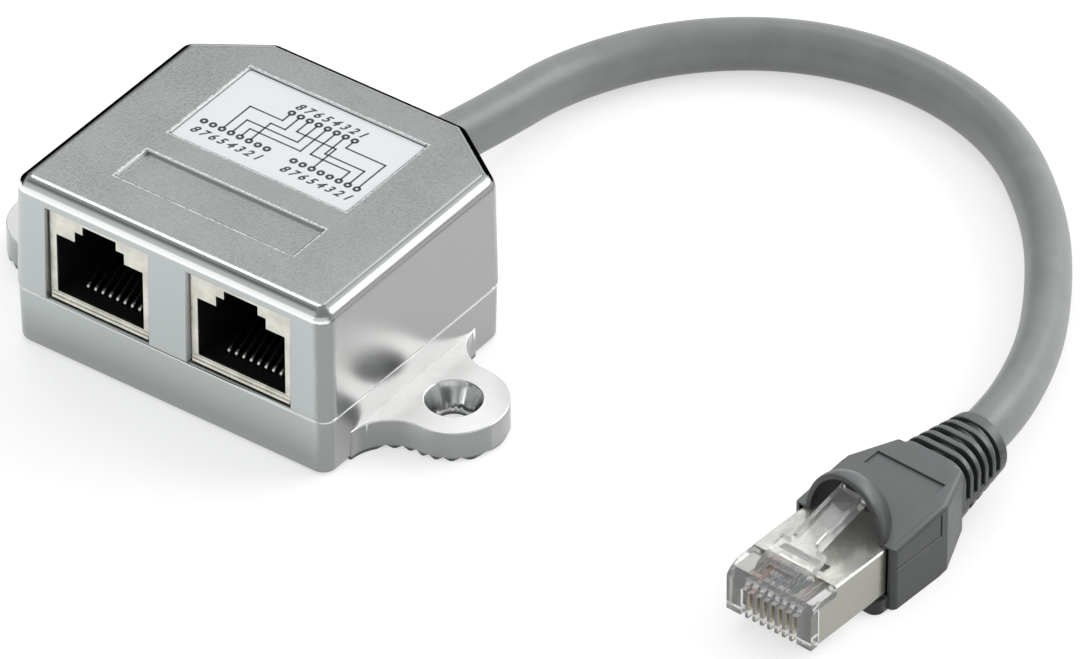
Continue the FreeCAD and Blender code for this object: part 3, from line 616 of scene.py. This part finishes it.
grooves = grooves * behind_nose.step(relief_from, relief_from + 0.7 * MM)
lip = 1 - behind_nose.step(lip_end - 0.5 * MM, lip_end)
# Painted light: faces that look up are paler; the grooves and the lip under the plug get near-black
# painted shade.
grey = (upper * 0.8 + matt_cloud * 0.2).blend((0.036, 0.039, 0.039, 1), (0.155, 0.162, 0.162, 1))
soft_grey.feed(
    Base_Color=grey.under(grooves.math("MAXIMUM", lip * 0.8), (0.006, 0.0065, 0.0065, 1)),
    Roughness=matt * 0.14 + matt_cloud * 0.1 + 0.24,
)
soft_grey.bump(matt, 0.02 * MM)
boot = rounded_copy("boot", "plug_boot", soft_grey, soft_grey)
dress(boot, None, "boot_plastic", "boot")


# Stage
# A white sweep under the object, wide enough for every view. Soft light: a softbox up on the left,
# a larger one at the back right, and a grey room. The room is paler on three sides and darker at the
# back left, with a lit strip up behind and a dark flag up at the front left.
def seen(signal):
    """1 for what the camera sees straight, in a reflection or through clear plastic."""
    path = signal.node("LightPath")
    glossy = Signal(signal.tree, path.socket.node.outputs["Is Glossy Ray"])
    through = Signal(signal.tree, path.socket.node.outputs["Is Transmission Ray"])
    return (path + glossy + through).math("MINIMUM", 1.0)


sweep_half = 3.0
corners = [(x * sweep_half, y * sweep_half, 0) for x, y in ((-1, -1), (1, -1), (1, 1), (-1, 1))]
ground = add_mesh("ground", corners, [(0, 1, 2, 3)])
sweep = Finish("white_sweep", (0.58, 0.58, 0.58), Roughness=0.95, Specular_IOR_Level=0.0,
               Emission_Strength=1.0)
lift = seen(sweep.place) * 0.57
sweep.feed(Emission_Color=lift.node("CombineXYZ", X=lift, Y=lift, Z=lift))
ground.data.materials.append(sweep.material)

world = bpy.data.worlds.new("studio")
scene.world = world
world.use_nodes = True
sky = Signal(world.node_tree, None)
ahead = sky.node("TexCoord", out="Generated")


def patch(x, y, z, near, far):
    """1 near a direction, 0 far from it, by cosines."""
    towards = Vector((x, y, z)).normalized()
    cosine = ahead.node("VectorMath", {"operation": "DOT_PRODUCT"}, out="Value", i0=ahead, i1=towards)
    return cosine.step(far, near)


back_left = patch(-0.467, 0.637, 0.613, 0.95, 0.80)
back_right = patch(0.35, 0.75, 0.55, 0.93, 0.80)
front_left = patch(-0.467, -0.70, 0.40, 0.93, 0.85)
behind = patch(-0.35, 0.92, 0.15, 0.97, 0.88)
strip = patch(-0.28, 0.637, 0.718, 0.996, 0.985)
flag = patch(-0.467, -0.359, 0.808, 0.992, 0.965)
room = 0.62 - back_left * 0.26 + back_right * 0.6 + front_left * 0.4 + behind * 0.7
room = room + strip * 1.6 - flag * 0.3
tinted = room.node("CombineXYZ", X=room * 0.985, Y=room, Z=room * 1.01)
background = world.node_tree.nodes["Background"]
world.node_tree.links.new(tinted.socket, background.inputs["Color"])


def softbox(name, towards, away, width, depth, level):
    """A softbox in one direction from the object, of this brightness."""
    watts_per_area = 4
    aim = Vector((0.03, 0.02, 0.0))
    lamp = bpy.data.objects.new(name, bpy.data.lights.new(name, "AREA"))
    lamp.data.shape = "RECTANGLE"
    lamp.data.size = width
    lamp.data.size_y = depth
    lamp.data.energy = level * watts_per_area * width * depth
    lamp.location = aim + Vector(towards).normalized() * away
    lamp.rotation_euler = (aim - lamp.location).to_track_quat("-Z", "Y").to_euler()
    scene.collection.objects.link(lamp)


softbox("overhead", (-0.467, 0.304, 0.83), 1.2, 0.38, 0.38, 2.8)
softbox("side", (0.50, 0.64, 0.50), 1.3, 1.0, 0.62, 2.5)
